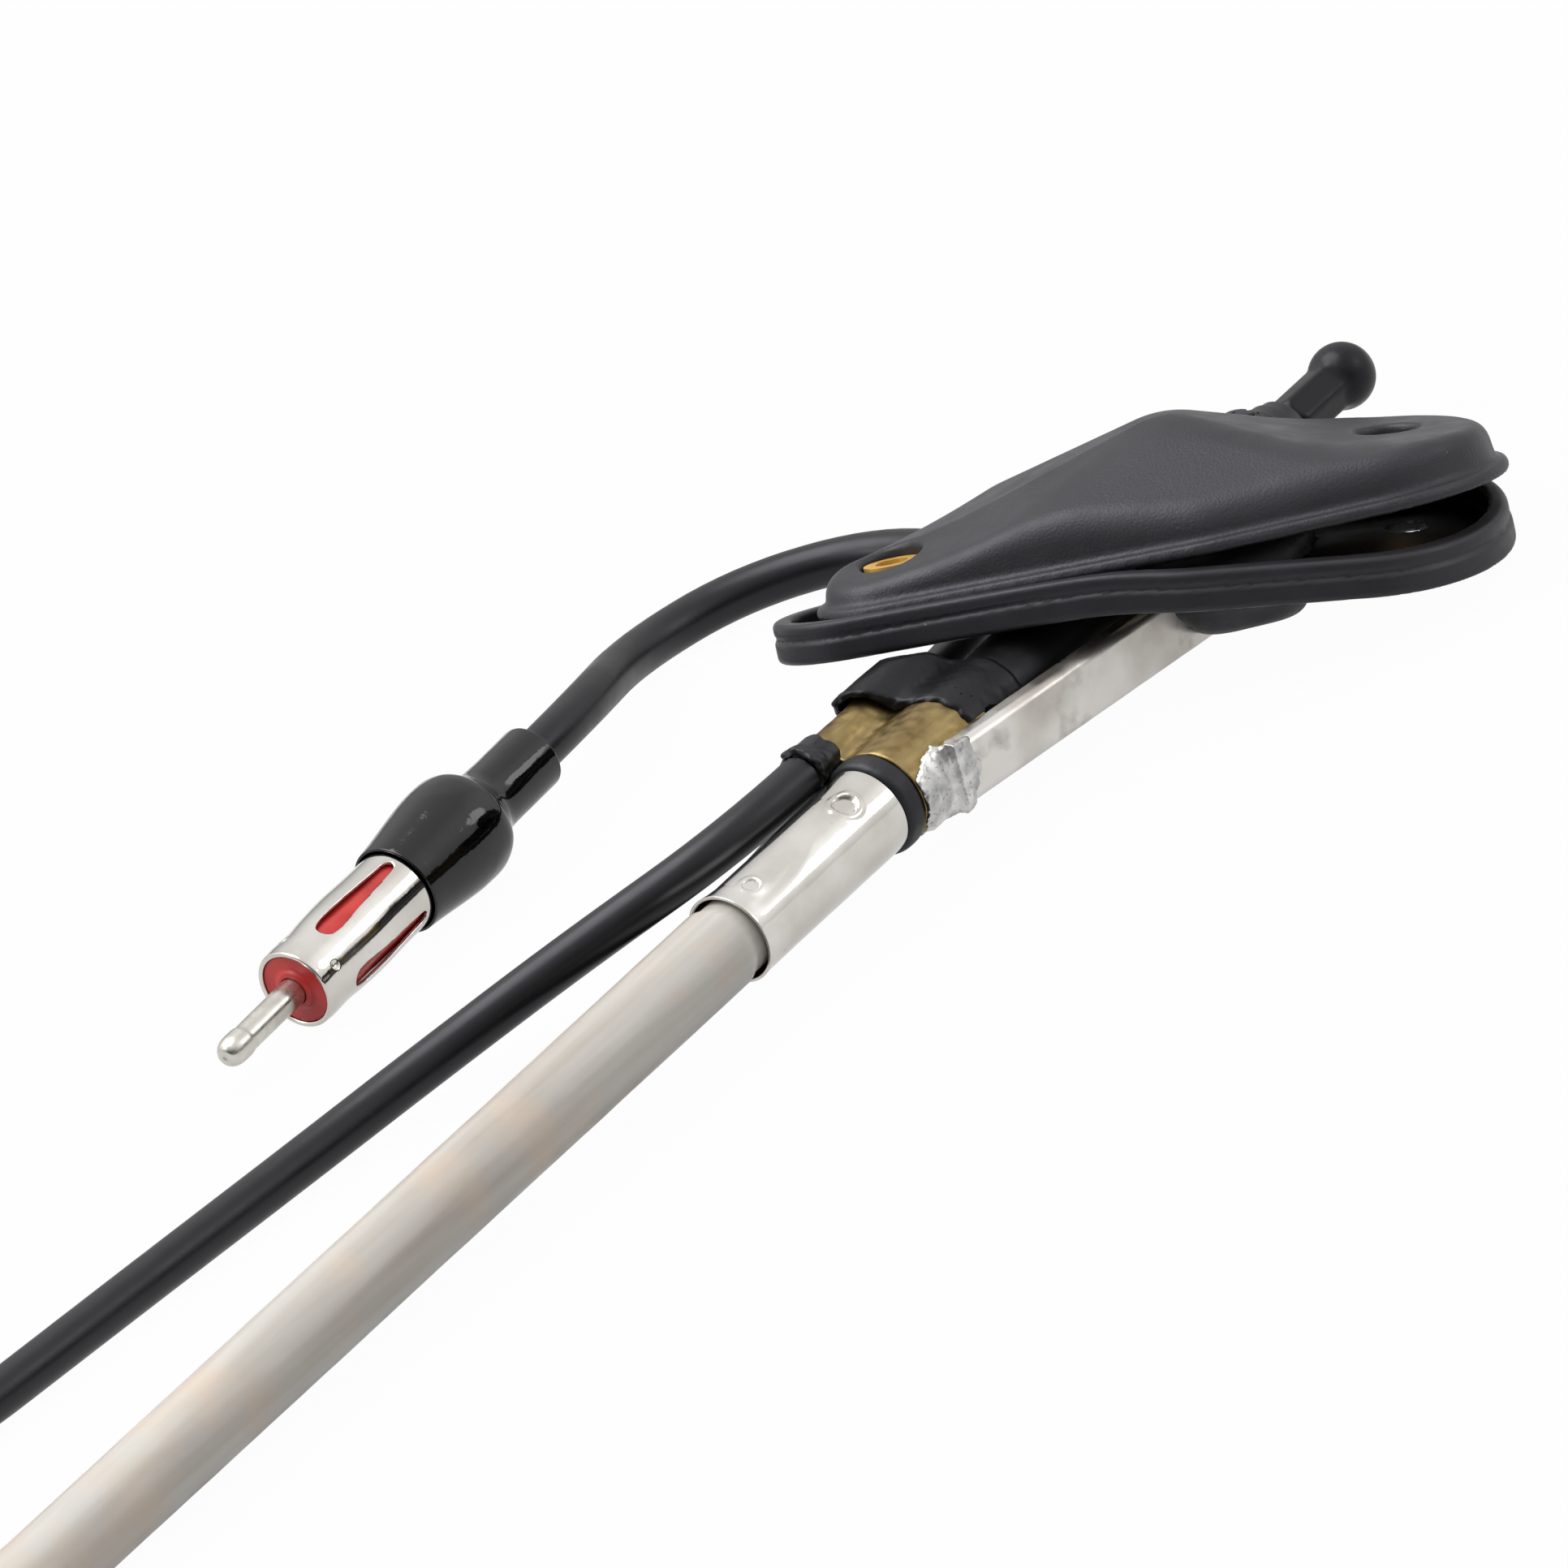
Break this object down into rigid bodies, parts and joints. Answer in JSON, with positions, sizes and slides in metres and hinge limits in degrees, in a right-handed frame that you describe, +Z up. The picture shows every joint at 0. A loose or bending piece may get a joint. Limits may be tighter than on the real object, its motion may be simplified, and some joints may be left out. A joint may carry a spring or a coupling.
{
  "type": "retractable car antenna",
  "caption": "Wing antenna for a car: screw-down base with cover and gasket, telescopic mast inside a long tube, and a lead with an aerial plug.",
  "frame": {"origin": "middle of the antenna without its lead, on the table it lies on", "axes": "+Z up from the table, +X along the mast towards its tip as seen from above, +Y towards the side where the lead and plug lie"},
  "size_m": [0.3069, 0.1025, 0.0247],
  "materials": {
    "cover": "fine grained black moulding",
    "gasket": "dull dark rubber",
    "boss": "grey black moulding",
    "black_plastic": "satin black",
    "tip": "satin black",
    "brass": "aged brass sheet",
    "nickel": "bright nickel plate",
    "steel": "nickel plated sheet, rubbed",
    "chrome": "polished",
    "solder": "grainy solder",
    "shrink": "shrunk sleeving",
    "ring": "rubber",
    "drain": "milky translucent plastic",
    "lead": "smooth black jacket",
    "boot": "glossy black",
    "insulator": "red plastic"
  },
  "bodies": {
    "antenna": {"base_cover": "cover", "base_gasket": "gasket", "ground_plate": "brass", "bracket_plate": "steel", "mount_boss": "boss", "mast_bush": "black_plastic", "mast_outer_tube": "nickel", "insulator_tube": "shrink", "support_channel": "steel", "brass_clamp": "brass", "solder_joint": "solder", "shrink_cover": "shrink", "insulator_ring": "ring", "ferrule_sleeve": "nickel", "drain_tube": "drain", "tube_end_cap": "drain", "cable_collar": "lead", "lead_cable": "lead", "plug_cable": "lead", "lead_coil": "lead", "coil_tie": "black_plastic", "plug_boot": "boot", "plug_barrel": "nickel", "plug_insulator": "insulator", "plug_pin": "nickel"},
    "section_1": {"mast_section_1": "chrome"},
    "section_2": {"mast_section_2": "chrome"},
    "section_3": {"mast_section_3": "chrome"},
    "rod": {"mast_rod": "chrome", "mast_tip": "tip"}
  },
  "joints": [
    {"name": "section_1_slide", "type": "slide", "parent": "antenna", "child": "section_1", "axis": [0.9997, 0, 0.0224], "range_m": [0, 0.213]},
    {"name": "section_2_slide", "type": "slide", "parent": "section_1", "child": "section_2", "axis": [0.9997, 0, 0.0224], "range_m": [0, 0.213]},
    {"name": "section_3_slide", "type": "slide", "parent": "section_2", "child": "section_3", "axis": [0.9997, 0, 0.0224], "range_m": [0, 0.213]},
    {"name": "rod_slide", "type": "slide", "parent": "section_3", "child": "rod", "axis": [0.9997, 0, 0.0224], "range_m": [0, 0.213]}
  ]
}
